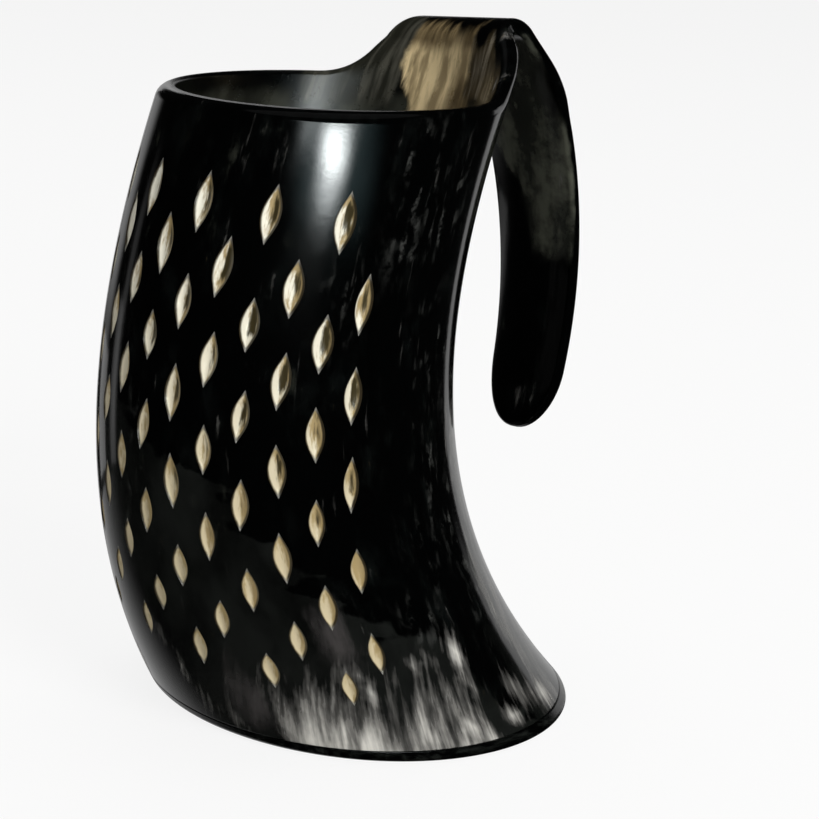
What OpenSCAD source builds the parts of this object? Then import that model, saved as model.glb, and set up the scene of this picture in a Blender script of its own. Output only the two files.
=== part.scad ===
// Horn drinking cup: one curved horn whose wall runs on into a hooked handle,
// closed below by a stepped horn plate and sealed inside.
// Millimetres. The origin is the centre of the plate's underside, +Z is up,
// and the handle hangs on the +X side.

/* [Horn wall] */
// Height of the rim above the table
rim_h = 146; // [130:1:160]
// Width of the rim along the handle's line
rim_w = 80; // [74:1:86]
// Depth of the rim from side to side
rim_d = 80; // [74:1:86]
// Width of the foot along the handle's line
base_w = 98.5; // [90:0.5:106]
// Depth of the foot from side to side
base_d = 112.5; // [96:0.5:118]
// Distance of the rim's centre from the foot's centre, away from the handle
rim_offset = 14; // [8:1:20]
// Lean of the centre line at the foot, away from the handle, in degrees
foot_lean = 38; // [30:1:42]
// Lean of the centre line at the rim, towards the handle, in degrees
rim_lean = 20; // [12:1:26]
// Thickness of the horn
wall = 4; // [3:0.25:5]
// Radius on the outer edge of the rim
lip_r = 2.5; // [1:0.25:2.75]
// Radius on the inner edge of the rim
lip_inner_r = 1; // [0.5:0.25:1.25]

/* [Handle] */
// Width of the strap where it leaves the rim
root_w = 53; // [46:0.5:58]
// Radius in the corners between the strap and the rim
root_fillet = 6; // [3:0.5:8]
// Width of the strap on its crest
crest_w = 37; // [34:0.5:46]
// Distance of the strap's middle from the plane of the bend, on the crest
crest_aside = 7; // [0:0.25:8]
// Roll of the crest towards that side, in degrees
crest_roll = 4.3; // [0:0.1:6]
// Length below the crest over which the strap draws in to its leg
shoulder_l = 30; // [24:1:36]
// Width of the strap at the top of its leg
leg_w = 29.5; // [26:0.5:34]
// Width of the strap near its end
end_w = 24; // [20:0.5:28]
// Length of the straight stretch above the rim
riser_l = 9.5; // [8:0.5:12]
// Lean of that stretch towards the outside, in degrees
riser_lean = 10; // [4:1:14]
// Radius of the tight bend, to the middle of the horn
bend_r = 5; // [4:0.25:7]
// Direction of the strap where the tight bend ends, in degrees from straight up
bend_end = 149; // [144:1:158]
// Radius of the long bow of the leg
leg_r = 124; // [110:1:150]
// Length of the leg after the tight bend
leg_l = 103; // [85:1:110]

/* [Notches] */
// Distance between notches along a row, measured round the horn
notch_step = 16.2; // [14:0.2:18]
// Half-steps that carry notches, on each side of the line away from the handle
notch_reach = 7; // [3:1:8]
// Rows of notches
notch_rows = 11; // [1:1:11]
// Height of the top row on the line away from the handle
notch_top = 126; // [122:0.5:130]
// Distance between rows
notch_pitch = 9.9; // [9:0.05:10.5]
// Turn of all columns about the cup, in degrees
notch_shift = -4; // [-8:0.5:8]
// Further turn of each row against the one above it, because the columns were cut leaning
row_lean = 0.3; // [0:0.05:0.6]
// Height by which each row dips as it runs round the cup
row_dip = 9; // [0:0.5:11]
// Place of the highest point of each row, in degrees from the line away from the handle
row_crown = -36; // [-40:1:0]
// Length of a notch
notch_l = 11; // [8:0.5:12]
// Width of a notch
notch_w = 4.6; // [3:0.1:5.5]
// Depth of a notch
notch_depth = 1.2; // [0.6:0.1:1.6]

/* [Base plate] */
// Thickness of the plate under the wall
plate_t = 3; // [2:0.25:5]
// Radius on the plate's lower edge
plate_edge = 1.5; // [0.5:0.25:1.75]
// Height of the step that fits inside the wall
step_h = 5; // [3:0.5:8]
// Gap for glue between the step and the wall
glue_gap = 0.15; // [0.05:0.05:0.3]

/* [Seal bead] */
// Height and width of the bead of sealant round the floor
bead_h = 3.5; // [2:0.25:5]
// Gap between the bead's solid and what it sticks to
bead_gap = 0.05; // [0.02:0.01:0.1]

/* [Hidden] */

// Facets round the cup, and rings up its outer and inner faces
around = 50;
outer_rings = 19;
inner_rings = 10;
lip_steps = 3;
// The rings lie closer together towards the foot, where the horn curves most, by this power
crowding = 1.3;
// The flare of the foot dies out with this power of the height
flare_power = 3;
// Sections of the strap in its fillet, riser and bend, leg and end; faces across it and round its edges
fillet_steps = 4;
bend_steps = 12;
leg_steps = 12;
end_steps = 6;
across_steps = 8;
edge_steps = 4;
// Stations along a notch
notch_steps = 4;
// Depth to which the strap's root runs down inside the wall
root_depth = 6;
// Amount by which each face of the strap draws in at the bottom of its root, inside the wall
root_inset = 0.5;
// Share of the shoulder over which the strap's middle comes back to the plane of the bend
aside_share = 0.8;
// Share of the rim's roundness that the leg of the strap keeps; its crest is flat
leg_curl_share = 0.6;
// Height of a notch's cutter above the horn
cut_over = 0.6;
// Length over which the strap's end is rounded off, as a share of its width there
end_round_share = 0.75;
// Share of its width that the strap keeps at the very end
tip_share = 0.15;
// Share of the dip that the top row takes, because it follows the rim
top_dip_share = 0.35;
// Small step that the horn's directions are measured over, as a share of its height or of a turn
probe_share = 0.001;
// Most of the wall's thickness that each edge of the rim may round off
outer_lip_share = 0.65;
inner_lip_share = 0.3;

lip_out_r = min(lip_r, wall*outer_lip_share);
lip_in_r = min(lip_inner_r, wall*inner_lip_share);
corner_r = min(root_fillet, rim_d/2 - wall - root_w/2);
bend_l = bend_r*(bend_end - riser_lean)*PI/180;
strap_l = riser_l + bend_l + leg_l;
end_l = end_w*end_round_share;
crest_at = riser_l + bend_r*(90 - riser_lean)*PI/180;
leg_at = crest_at + shoulder_l;
floor_z = plate_t + step_h;
bead_foot = floor_z + bead_gap;
bead_top = bead_foot + bead_h;

horn_black = [0.06, 0.06, 0.055];
plate_black = [0.03, 0.03, 0.03];
bead_amber = [0.35, 0.27, 0.16];

// A smooth step from 0 to 1
function ease(x) = let (c = min(1, max(0, x))) c*c*(3 - 2*c);
function mix(a, b, k) = a + (b - a)*k;

// Centre line of the horn: a cubic that leaves the foot and meets the rim at the two leans
function centre_x(s) =
    -(s*s*s - 2*s*s + s)*tan(foot_lean)*rim_h
    - (3*s*s - 2*s*s*s)*rim_offset
    + (s*s*s - s*s)*tan(rim_lean)*rim_h;
function flare(s) = pow(1 - s, flare_power);
function half_x(s) = mix(rim_w, base_w, flare(s))/2;
function half_y(s) = mix(rim_d, base_d, flare(s))/2;

// A point of the horn at height z, drawn in by inset, at an angle from the -X side towards -Y
function horn_point(z, inset, a) =
    let (s = z/rim_h)
    [centre_x(s) - (half_x(s) - inset)*cos(a), -(half_y(s) - inset)*sin(a), z];
function horn_ring(z, inset) = [for (i = [0:around - 1]) horn_point(z, inset, i*360/around)];

// Triangles between rings of n points each; a closed loop of rings also joins the last to the first
function ring_faces(rings, n, closed) = [
    for (j = [0:rings - (closed ? 1 : 2)], i = [0:n - 1])
        let (a = j*n + i, b = j*n + (i + 1)%n, k = (j + 1)%rings, c = k*n + (i + 1)%n, d = k*n + i)
        each [[a, d, b], [b, d, c]]];
function flat_list(lists) = [for (one = lists) each one];

module ring_loop(rings) {
    polyhedron(points = flat_list(rings), faces = ring_faces(len(rings), len(rings[0]), true));
}

module ring_stack(rings) {
    n = len(rings[0]);
    last = (len(rings) - 1)*n;
    polyhedron(
        points = flat_list(rings),
        faces = concat(
            ring_faces(len(rings), n, false),
            [[for (i = [0:n - 1]) i]],
            [[for (i = [n - 1:-1:0]) last + i]]));
}

// The wall without its handle: up the outside, over the lip and down the inside
module wall_shell() {
    outside = [for (j = [0:outer_rings])
        horn_ring(mix(plate_t, rim_h - lip_out_r, pow(j/outer_rings, crowding)), 0)];
    lip_out = [for (k = [1:lip_steps]) let (a = 90*k/lip_steps)
        horn_ring(rim_h - lip_out_r*(1 - sin(a)), lip_out_r*(1 - cos(a)))];
    lip_in = [for (k = [0:lip_steps]) let (a = 90*k/lip_steps)
        horn_ring(rim_h - lip_in_r*(1 - cos(a)), wall - lip_in_r*(1 - sin(a)))];
    inside = [for (j = [1:inner_rings])
        horn_ring(mix(bead_top, rim_h - lip_in_r, pow(1 - j/inner_rings, crowding)), wall)];
    seat = [horn_ring(floor_z, wall), horn_ring(plate_t, wall)];
    ring_loop(concat(outside, lip_out, lip_in, inside, seat));
}

// Middle line of the strap in the XZ plane: straight, then a tight bend, then a long bow.
// Below the rim it is the middle of the wall that it grows from.
function bend_heading(l) = riser_lean + min(bend_l, max(0, l - riser_l))/bend_r*180/PI;
function leg_turn(l) = max(0, l - riser_l - bend_l)/leg_r*180/PI;
function heading(l) = bend_heading(l) + leg_turn(l);
function strap_x(l) =
    let (s = 1 + min(0, l)/rim_h, up = max(0, l))
    centre_x(s) + half_x(s) - wall/2
    + min(up, riser_l)*sin(riser_lean)
    + bend_r*(cos(riser_lean) - cos(bend_heading(up)))
    + leg_r*(cos(bend_end) - cos(bend_end + leg_turn(up)));
function strap_z(l) =
    let (up = max(0, l))
    rim_h + min(0, l)
    + min(up, riser_l)*cos(riser_lean)
    + bend_r*(sin(bend_heading(up)) - sin(riser_lean))
    + leg_r*(sin(bend_end + leg_turn(up)) - sin(bend_end));

// Half the strap's width: filleted into the rim, drawn in to the crest, tapered and rounded off
function fillet_half(l) =
    let (up = min(corner_r, max(0, l)))
    corner_r - sqrt(corner_r*corner_r - (corner_r - up)*(corner_r - up));
function taper_half(l) =
    l < crest_at ? mix(root_w, crest_w, ease(l/crest_at))/2
    : l < leg_at ? mix(crest_w, leg_w, ease((l - crest_at)/shoulder_l))/2
    : mix(leg_w, end_w, min(1, (l - leg_at)/(strap_l - end_l - leg_at)))/2;
function end_round(l) = max(tip_share, sqrt(1 - pow(max(0, l - strap_l + end_l)/end_l, 2)));
function strap_half(l) = (fillet_half(l) + taper_half(l))*end_round(l);
// Distance of the strap's middle from the plane of the bend, and how much of the roll it has
function strap_aside(l) =
    crest_aside*ease(l/crest_at)*(1 - ease((l - crest_at)/shoulder_l/aside_share));
function strap_roll(l) = tan(crest_roll)*ease(l/crest_at)*(1 - ease((l - crest_at)/shoulder_l));
function strap_curl(l) = l < crest_at ? 1 - ease(l/crest_at) : leg_curl_share*ease((l - crest_at)/crest_at);

// Outline of a section: across the outer face, round the edge, back over the inner face, round again.
// Each entry is a place across the strap, then steps along and out from there.
function strap_outline(half, r) = concat(
    [for (i = [0:across_steps]) [mix(r - half, half - r, i/across_steps), 0, r]],
    [for (k = [1:edge_steps - 1]) let (a = 180*k/edge_steps) [half - r, r*sin(a), r*cos(a)]],
    [for (i = [0:across_steps]) [mix(half - r, r - half, i/across_steps), 0, -r]],
    [for (k = [1:edge_steps - 1]) let (a = 180*k/edge_steps) [r - half, -r*sin(a), -r*cos(a)]]);

// A section of the strap, curved across by its share of the rim's own roundness
function strap_section(l) =
    let (
        s = 1 + min(0, l)/rim_h,
        a = half_x(s) - wall/2,
        b = half_y(s) - wall/2,
        curl = strap_curl(max(0, l)),
        tilt = heading(l)*ease(l/crest_at),
        r = (wall/2 + min(0, l)*root_inset/root_depth)*sqrt(end_round(l)))
    [for (p = strap_outline(strap_half(l), r))
        let (
            place = p[0] + strap_aside(l),
            across = place/b,
            root = sqrt(1 - across*across),
            slope = curl*a*across/(b*root),
            n = sqrt(1 + slope*slope),
            y = place + (p[1] + p[2]*slope)/n,
            d = curl*a*(1 - root) + (p[1]*slope - p[2])/n)
        [strap_x(l) - d*cos(tilt), y, strap_z(l) + d*sin(tilt) - y*strap_roll(l)]];

module strap() {
    stations = concat(
        [-root_depth],
        [for (k = [0:fillet_steps - 1]) corner_r*(1 - cos(90*k/fillet_steps))],
        [for (k = [0:bend_steps - 1]) mix(corner_r, riser_l + bend_l, k/bend_steps)],
        [for (k = [0:leg_steps - 1]) mix(riser_l + bend_l, strap_l - end_l, k/leg_steps)],
        [for (k = [0:end_steps]) strap_l - end_l + end_l*sin(90*k/end_steps)]);
    ring_stack([for (l = stations) strap_section(l)]);
}

// One gouge, pointed at both ends and V-shaped across, cut square to the wall
module notch(z, a) {
    lift = rim_h*probe_share;
    step = 360*probe_share;
    place = horn_point(z, 0, a);
    rise = horn_point(z + lift, 0, a) - horn_point(z - lift, 0, a);
    turn = horn_point(z, 0, a + step) - horn_point(z, 0, a - step);
    up = rise/norm(rise);
    side = turn/norm(turn);
    out = cross(side, up)/norm(cross(side, up));
    reach = sqrt(1 + cut_over/notch_depth)*notch_l/2;
    points = [for (k = [0:notch_steps])
        let (
            t = mix(-reach, reach, k/notch_steps),
            keel = -notch_depth*(1 - pow(2*t/notch_l, 2)),
            half = (cut_over - keel)*notch_w/2/notch_depth)
        each [
            place + up*t + out*keel,
            place + up*t + out*cut_over + side*half,
            place + up*t + out*cut_over - side*half]];
    hull() polyhedron(points = points, faces = [[for (i = [0:len(points) - 1]) i]]);
}

// Staggered rows, each dipping round the cup from its crown
module notches() {
    for (row = [0:notch_rows - 1], c = [-notch_reach:notch_reach])
        if ((row + c)%2 == 0) {
            level = notch_top - row*notch_pitch;
            girth_r = (half_x(level/rim_h) + half_y(level/rim_h))/2;
            a = notch_shift + row*row_lean + c*notch_step/2/girth_r*180/PI;
            dip = row_dip*(cos(row_crown) - cos(a - row_crown));
            notch(level - dip*(row == 0 ? top_dip_share : 1), a);
        }
}

module horn_body() {
    color(horn_black) difference() {
        union() {
            wall_shell();
            strap();
        }
        notches();
    }
}

// Horn plate under the wall, with a step that fits inside it
module base_plate() {
    step_in = wall + glue_gap;
    lower_edge = [for (k = [0:lip_steps]) let (a = 90*k/lip_steps)
        horn_ring(plate_edge*(1 - cos(a)), plate_edge*(1 - sin(a)))];
    color(plate_black) ring_stack(concat(
        lower_edge,
        [horn_ring(plate_t, 0), horn_ring(plate_t, step_in)],
        [horn_ring(floor_z, step_in)]));
}

// Bead of sealant in the corner between the floor and the wall
module seal_bead() {
    color(bead_amber) ring_loop([
        horn_ring(bead_foot, wall + bead_gap),
        horn_ring(bead_top, wall + bead_gap),
        horn_ring(bead_foot + bead_h/3, wall + bead_h/3),
        horn_ring(bead_foot, wall + bead_h)]);
}

horn_body();
base_plate();
seal_bead();
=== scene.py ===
"""Horn drinking cup: a curved horn whose wall runs on into a strap handle, with gouged notches,
a horn plate in its foot and a bead of sealant on its floor.

Every surface is worked out in the horn's own coordinates, as if the horn were straight:
    a  the angle round it, from the side away from the handle, in radians
    l  the distance along it, from the rim line: below zero on the wall, above zero on the strap
    t  the depth below its outer face
and one function, bent_horn, bends those coordinates into place. Lengths are in metres.
"""
import math

import bpy
import numpy as np
from bpy.props import FloatProperty, FloatVectorProperty, IntProperty, PointerProperty
from mathutils import Matrix, Vector
from mathutils.geometry import delaunay_2d_cdt


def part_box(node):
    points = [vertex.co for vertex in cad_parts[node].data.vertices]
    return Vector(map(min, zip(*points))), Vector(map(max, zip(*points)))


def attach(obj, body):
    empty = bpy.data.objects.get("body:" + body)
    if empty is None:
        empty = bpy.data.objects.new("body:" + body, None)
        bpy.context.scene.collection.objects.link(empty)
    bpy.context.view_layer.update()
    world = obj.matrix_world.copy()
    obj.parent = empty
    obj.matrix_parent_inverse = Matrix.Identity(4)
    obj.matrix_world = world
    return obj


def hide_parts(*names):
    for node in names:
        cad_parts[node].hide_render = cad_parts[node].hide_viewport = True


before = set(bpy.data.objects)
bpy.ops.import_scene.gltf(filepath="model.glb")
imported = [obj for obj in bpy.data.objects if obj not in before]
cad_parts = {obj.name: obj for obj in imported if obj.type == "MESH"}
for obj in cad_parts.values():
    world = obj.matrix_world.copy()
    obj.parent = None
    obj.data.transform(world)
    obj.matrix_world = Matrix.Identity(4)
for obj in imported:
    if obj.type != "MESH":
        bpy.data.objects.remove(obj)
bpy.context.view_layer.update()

bl_info = {
    "name": "Horn Drinking Cup",
    "version": (1, 0, 0),
    "blender": (4, 5, 0),
    "location": "View3D > Sidebar > Horn Cup",
    "description": "Builds a gouged horn drinking cup with a strap handle, and a small studio round it",
    "category": "Add Mesh",
}

MM = 0.001
BODY = "root"
plate_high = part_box("base_plate")[1].z
bead_low, bead_high = (corner.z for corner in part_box("seal_bead"))


def length(name, default, description):
    """A length in metres, given here in millimetres."""
    return FloatProperty(name=name, description=description, default=default*MM, min=0,
                         unit="LENGTH", precision=5)


def turn(name, default, description):
    """An angle, given here in degrees."""
    return FloatProperty(name=name, description=description, default=math.radians(default),
                         subtype="ANGLE", unit="ROTATION")


def share(name, default, description):
    return FloatProperty(name=name, description=description, default=default, min=0, max=1)


def colour(name, default, description):
    return FloatVectorProperty(name=name, description=description, default=default, size=3,
                               subtype="COLOR", min=0.0, max=1.0)


class HORNCUP_PG_wall(bpy.types.PropertyGroup):
    """Sizes of the horn's wall"""
    rim_h: length("Rim height", 146, "Height of the rim above the table")
    rim_w: length("Rim width", 80, "Width of the rim along the handle's line")
    rim_d: length("Rim depth", 80, "Depth of the rim from side to side")
    base_w: length("Foot width", 98.5, "Width of the foot along the handle's line")
    base_d: length("Foot depth", 112.2, "Depth of the foot from side to side")
    rim_offset: length("Rim offset", 14, "Distance of the rim's centre from the foot's centre")
    foot_lean: turn("Foot lean", 38, "Lean of the centre line at the foot, away from the handle")
    rim_lean: turn("Rim lean", 20, "Lean of the centre line at the rim, towards the handle")
    wall: length("Wall", 4, "Thickness of the horn")
    lip_r: length("Lip radius", 2.5, "Radius on the outer edge of the rim")
    lip_inner_r: length("Inner lip radius", 1, "Radius on the inner edge of the rim")
    flange_t: length("Flange", 3, "Thickness of the plate's flange, on which the wall stands")
    glue_gap: length("Glue gap", 0.15, "Gap between the plate's step and the wall")
    plate_edge: length("Plate edge", 1.5, "Radius on the plate's lower edge")
    bead_gap: length("Bead gap", 0.05, "Gap between the bead and the wall")
    joint_r: length("Joint radius", 0.35, "Radius on the edges where the wall meets the plate")


class HORNCUP_PG_strap(bpy.types.PropertyGroup):
    """Sizes of the strap handle"""
    root_w: length("Root width", 53, "Width of the strap where it leaves the rim")
    root_fillet: length("Root fillet", 6, "Radius in the corners between the strap and the rim")
    crest_w: length("Crest width", 37, "Width of the strap on its crest")
    crest_aside: length("Crest aside", 7, "Distance of the crest's middle from the plane of the bend")
    crest_roll: turn("Crest roll", 4.3, "Roll of the crest towards that side")
    shoulder_l: length("Shoulder", 30, "Length below the crest over which the strap draws in to its leg")
    aside_share: share("Aside share", 0.8, "Share of the shoulder over which the middle comes back")
    leg_w: length("Leg width", 29.5, "Width of the strap at the top of its leg")
    end_w: length("End width", 24, "Width of the strap near its end")
    riser_l: length("Riser", 9.5, "Length of the straight stretch above the rim")
    riser_lean: turn("Riser lean", 10, "Lean of that stretch towards the outside")
    settle_l: length("Settling", 8, "Length over which the wall's lean settles into the riser's")
    bend_r: length("Bend radius", 4.92, "Radius of the tight bend, to the middle of the horn")
    bend_end: turn("Bend end", 149, "Direction of the strap where the tight bend ends")
    leg_r: length("Leg radius", 124, "Radius of the long bow of the leg")
    leg_l: length("Leg", 103, "Length of the leg after the tight bend")
    leg_curl: share("Leg curl", 0.6, "Share of the rim's roundness that the leg keeps")
    end_share: share("End roundness", 0.75, "Length of the rounded end, as a share of its width")
    edge_r: length("Edge radius", 1.3, "Radius on the edges of the strap")


class HORNCUP_PG_notches(bpy.types.PropertyGroup):
    """Sizes and places of the gouged notches"""
    rows: IntProperty(name="Rows", description="Rows of notches", default=11, min=1)
    reach: IntProperty(name="Reach", description="Half-steps with notches on each side", default=7, min=1)
    step: length("Step", 16.2, "Distance between notches along a row")
    top: length("Top row", 126, "Height of the top row on the line away from the handle")
    pitch: length("Pitch", 9.9, "Distance between rows")
    shift: turn("Shift", -4, "Turn of all columns about the cup")
    lean: turn("Lean", 0.3, "Further turn of each row against the one above it")
    low_turn: turn("Low turn", 9.1673, "Turn of the lowest row's notches against the horn's line")
    dip: length("Dip", 9, "Height by which each row dips as it runs round the cup")
    crown: turn("Crown", -36, "Place of the highest point of each row")
    top_dip: share("Top row's dip", 0.35, "Share of the dip that the top row takes")
    top_l: length("Top length", 14.2, "Length of the notches in the top row")
    low_l: length("Low length", 10.2, "Length of the notches in the lowest row")
    top_w: length("Top width", 4.5, "Width of the notches in the top row")
    low_w: length("Low width", 3.7, "Width of the notches in the lowest row")
    depth: length("Depth", 1.2, "Depth of a notch")
    point: FloatProperty(name="Point", description="How drawn out the points are", default=1.3, min=1)
    waver: share("Waver", 0.05, "Spread of the hand-cut lengths and widths")


class HORNCUP_PG_finish(bpy.types.PropertyGroup):
    """Colours of the horn, the plate and the sealant"""
    black: colour("Black", (0.0004, 0.0005, 0.0005), "Polished black horn")
    cloud: colour("Cloud", (0.0035, 0.0045, 0.0042), "Faint clouds in the black")
    smoke: colour("Smoke", (0.0085, 0.0095, 0.0085), "Smoky grey zone of the lower wall")
    haze: colour("Haze", (0.052, 0.048, 0.047), "Greyish haze between the worn streaks")
    olive: colour("Olive", (0.042, 0.044, 0.033), "Olive mottling of the inner wall and the strap")
    leg_dark: colour("Leg, dark", (0.014, 0.015, 0.012), "Dark mottling on the top of the leg")
    leg_light: colour("Leg, light", (0.075, 0.078, 0.06), "Light mottling on the top of the leg")
    pale: colour("Pale", (0.74, 0.72, 0.66), "Pale worn streaks near the foot")
    ash: colour("Ash", (0.075, 0.073, 0.068), "Grey of the streaks' borders")
    soot: colour("Soot", (0.03, 0.032, 0.03), "Dark grey between the streaks on the flank")
    fleck: colour("Fleck", (0.10, 0.103, 0.096), "Small flecks")
    tan: colour("Tan", (0.74, 0.595, 0.345), "Tan horn on the inner face of the riser")
    brown: colour("Brown", (0.22, 0.165, 0.085), "Brown horn round the tan")
    beside_dark: colour("Beside, dark", (0.016, 0.016, 0.011), "Dark horn beside the tan")
    beside_light: colour("Beside, light", (0.085, 0.082, 0.064), "Light streaks beside the tan")
    stroke_dark: colour("Strokes, dark", (0.06, 0.045, 0.022), "Brown between the strokes by the tan")
    # Painted highlight: light strokes along the strap's edge, beside the tan
    stroke_highlight: colour("Strokes, light", (0.30, 0.26, 0.19), "Light strokes by the tan")
    # Painted light in the notches: the two bright colours paint the lit side, with a painted glint in the
    # upper rows. The tan is the cut horn on the side in painted shade, and the hollow colour is painted
    # shade in the deep part.
    cut: colour("Cut", (0.90, 0.87, 0.73), "Bright side of the upper notches")
    low_cut_lit: colour("Low cut", (0.62, 0.53, 0.34), "Bright side of the lowest notches")
    shaded_tan: colour("Fibre", (0.40, 0.30, 0.14), "Tan side of the notches")
    hollow: colour("Hollow", (0.045, 0.034, 0.011), "Dark horn in the deep notches")
    border: colour("Border", (0.035, 0.026, 0.012), "Dark border of the notches")
    scuff: colour("Scuff", (0.24, 0.235, 0.21), "Grey points of the notches")
    plate: colour("Plate fibres", (0.013, 0.015, 0.013), "Fibres in the black plate")
    sealant: colour("Sealant", (0.30, 0.20, 0.09), "Bead of sealant on the floor")
    sealant_dark: colour("Sealant, dark", (0.12, 0.07, 0.025), "Darker clouds in the sealant")


class HORNCUP_PG_studio(bpy.types.PropertyGroup):
    """The camera, the floor and the lamps"""
    azimuth: turn("Azimuth", -40, "Direction from which the camera looks, round the cup")
    distance: length("Distance", 520, "Distance of the camera along the floor")
    height: length("Camera height", 206, "Height of the camera above the floor")
    aim_z: length("Aim height", 68.8, "Height that the camera aims at")
    aside: length("Aside", 9.8, "Distance of the camera's line from the cup's origin")
    roll: turn("Roll", 2.7, "Turn of the camera about its own line")
    lens: FloatProperty(name="Lens", description="Focal length of the camera, in millimetres", default=97.98)
    air: share("Air", 0.34, "Strength of the soft light from all round")
    middle_z: length("Middle", 80, "Height of the middle of the cards and lamps")
    card_r: length("Card radius", 3000, "Distance of the cards from that middle")
    tent_r: length("Tent radius", 4000, "Radius of the dark tent")
    tent_level: share("Tent brightness", 0.004, "Brightness of the dark tent")
    floor_r: length("Floor radius", 9000, "Radius of the pale floor")
    floor: colour("Floor colour", (0.90, 0.90, 0.89), "Colour of the pale floor")
    floor_lift: share("Floor lift", 0.86, "Share of plain white in the floor where it is seen")


class Cup:
    """The sizes of the wall and the strap, and what follows from them: the lengths of the tight bend, of
    the whole strap, of its rounded end and up to its crest, and half the depth of the rim's middle line."""

    def __init__(self, scene):
        for group, kind in ((scene.horn_wall, HORNCUP_PG_wall), (scene.horn_strap, HORNCUP_PG_strap)):
            for name in kind.__annotations__:
                setattr(self, name, getattr(group, name))
        self.bend_l = self.bend_r*(self.bend_end - self.riser_lean)
        self.strap_l = self.riser_l + self.bend_l + self.leg_l
        self.end_l = self.end_w*self.end_share
        self.crest_at = self.riser_l + self.bend_r*(math.pi/2 - self.riser_lean)
        self.reach = self.rim_d/2 - self.wall/2


# Shapes


def ease(x):
    """A smooth step from 0 to 1."""
    x = np.clip(x, 0, 1)
    return x*x*(3 - 2*x)


def mix(a, b, k):
    return a + (b - a)*k


def unit(v):
    return v/np.maximum(np.linalg.norm(v, axis=-1, keepdims=True), 1e-12)


def centre_x(cup, s):
    """X of the horn's centre line at the share s of its height: a cubic that leaves the foot
    and meets the rim at the two leans."""
    return (-(s**3 - 2*s**2 + s)*math.tan(cup.foot_lean)*cup.rim_h
            - (3*s**2 - 2*s**3)*cup.rim_offset
            + (s**3 - s**2)*math.tan(cup.rim_lean)*cup.rim_h)


def half_widths(cup, s):
    """Half the outer widths along X and Y; the flare of the foot dies out with the cube of the height."""
    flare = (1 - s)**3
    return mix(cup.rim_w, cup.base_w, flare)/2, mix(cup.rim_d, cup.base_d, flare)/2


def strap_line(cup, l):
    """Middle line of the strap and its heading: straight up from the rim at the riser's lean, round
    the tight bend as an arc, and down the long bow as another. Near the rim it swells a little,
    so that it starts at the wall's own lean."""
    lean, end = cup.riser_lean, cup.bend_end
    up = np.maximum(0, l)
    straight = np.minimum(up, cup.riser_l)
    bent = lean + np.clip(up - cup.riser_l, 0, cup.bend_l)/cup.bend_r
    bow = np.maximum(0, up - cup.riser_l - cup.bend_l)/cup.leg_r
    start = math.tan(cup.rim_lean)*math.cos(lean) - math.sin(lean)
    swell = start*up*np.maximum(0, 1 - up/cup.settle_l)**2
    x = (straight*math.sin(lean) + swell + cup.bend_r*(math.cos(lean) - np.cos(bent))
         + cup.leg_r*(math.cos(end) - np.cos(end + bow)))
    z = (straight*math.cos(lean) + cup.bend_r*(np.sin(bent) - math.sin(lean))
         + cup.leg_r*(np.sin(end + bow) - math.sin(end)))
    return x, z, bent + bow


def strap_sides(cup, l):
    """Distances of the strap's two edges from the plane of the bend, towards -Y and towards +Y. The
    width is filleted into the rim with a quarter circle, drawn in to the crest and again to the leg,
    tapered to its end and rounded off as an ellipse, and its middle stands aside on the crest."""
    leg_at = cup.crest_at + cup.shoulder_l
    up = np.clip(l, 0, cup.root_fillet)
    fillet = cup.root_fillet - np.sqrt(cup.root_fillet**2 - (cup.root_fillet - up)**2)
    riser = mix(cup.root_w, cup.crest_w, ease(l/cup.crest_at))
    shoulder = mix(cup.crest_w, cup.leg_w, ease((l - cup.crest_at)/cup.shoulder_l))
    leg = mix(cup.leg_w, cup.end_w, np.clip((l - leg_at)/(cup.strap_l - cup.end_l - leg_at), 0, 1))
    end = np.sqrt(1 - np.clip((l - cup.strap_l + cup.end_l)/cup.end_l, 0, 1)**2)
    half = (fillet + np.where(l < cup.crest_at, riser, np.where(l < leg_at, shoulder, leg))/2)*end
    back = ease((l - cup.crest_at)/cup.shoulder_l/cup.aside_share)
    aside = cup.crest_aside*ease(l/cup.crest_at)*(1 - back)
    return half - aside, half + aside


def strap_angles(cup, l):
    """Angles of the strap's two edges: their sines are their distances over the rim's half depth."""
    return [np.arcsin(np.clip(side/cup.reach, 0, 1)) for side in strap_sides(cup, l)]


def bent_horn(cup, a, l, t):
    """Bends the horn's own coordinates into place. On the wall each section is a level oval whose half
    widths are drawn in by the depth t. On the strap the oval's arc flattens by the curl, its plane
    tilts from level at the rim to square across the strap's line, and the crest is rolled aside."""
    a, l, t = np.broadcast_arrays(a, l, t)
    s = 1 + np.minimum(0, l)/cup.rim_h
    half_x, half_y = half_widths(cup, s)
    x, z, heading = strap_line(cup, l)
    risen = ease(l/cup.crest_at)
    past = l - cup.crest_at
    curl = np.where(past < 0, 1 - risen, cup.leg_curl*ease(past/cup.crest_at))
    tilt = heading*risen
    out = (half_x - t)*(1 - curl*(1 + np.cos(a))) - (half_x - cup.wall/2)
    y = -(half_y - t)*np.sin(a)
    roll = math.tan(cup.crest_roll)*risen*(1 - ease(past/cup.shoulder_l))
    x = centre_x(cup, s) + half_x - cup.wall/2 + x + out*np.cos(tilt)
    z = cup.rim_h + np.minimum(0, l) + z - out*np.sin(tilt) - y*roll
    return np.stack([x, y, z], -1)


def slopes(cup, a, l, t):
    """Change of the bent point with a and with l, from points a hair to each side, and the
    outward normal as their cross product."""
    hair = 1e-5
    by_a = (bent_horn(cup, a + hair, l, t) - bent_horn(cup, a - hair, l, t))/(2*hair)
    by_l = (bent_horn(cup, a, l + hair, t) - bent_horn(cup, a, l - hair, t))/(2*hair)
    return by_a, by_l, unit(np.cross(by_a, by_l))


# The sheet's edge, as a loop in (a, l): round the rim, up one edge of the strap and down the other

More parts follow.
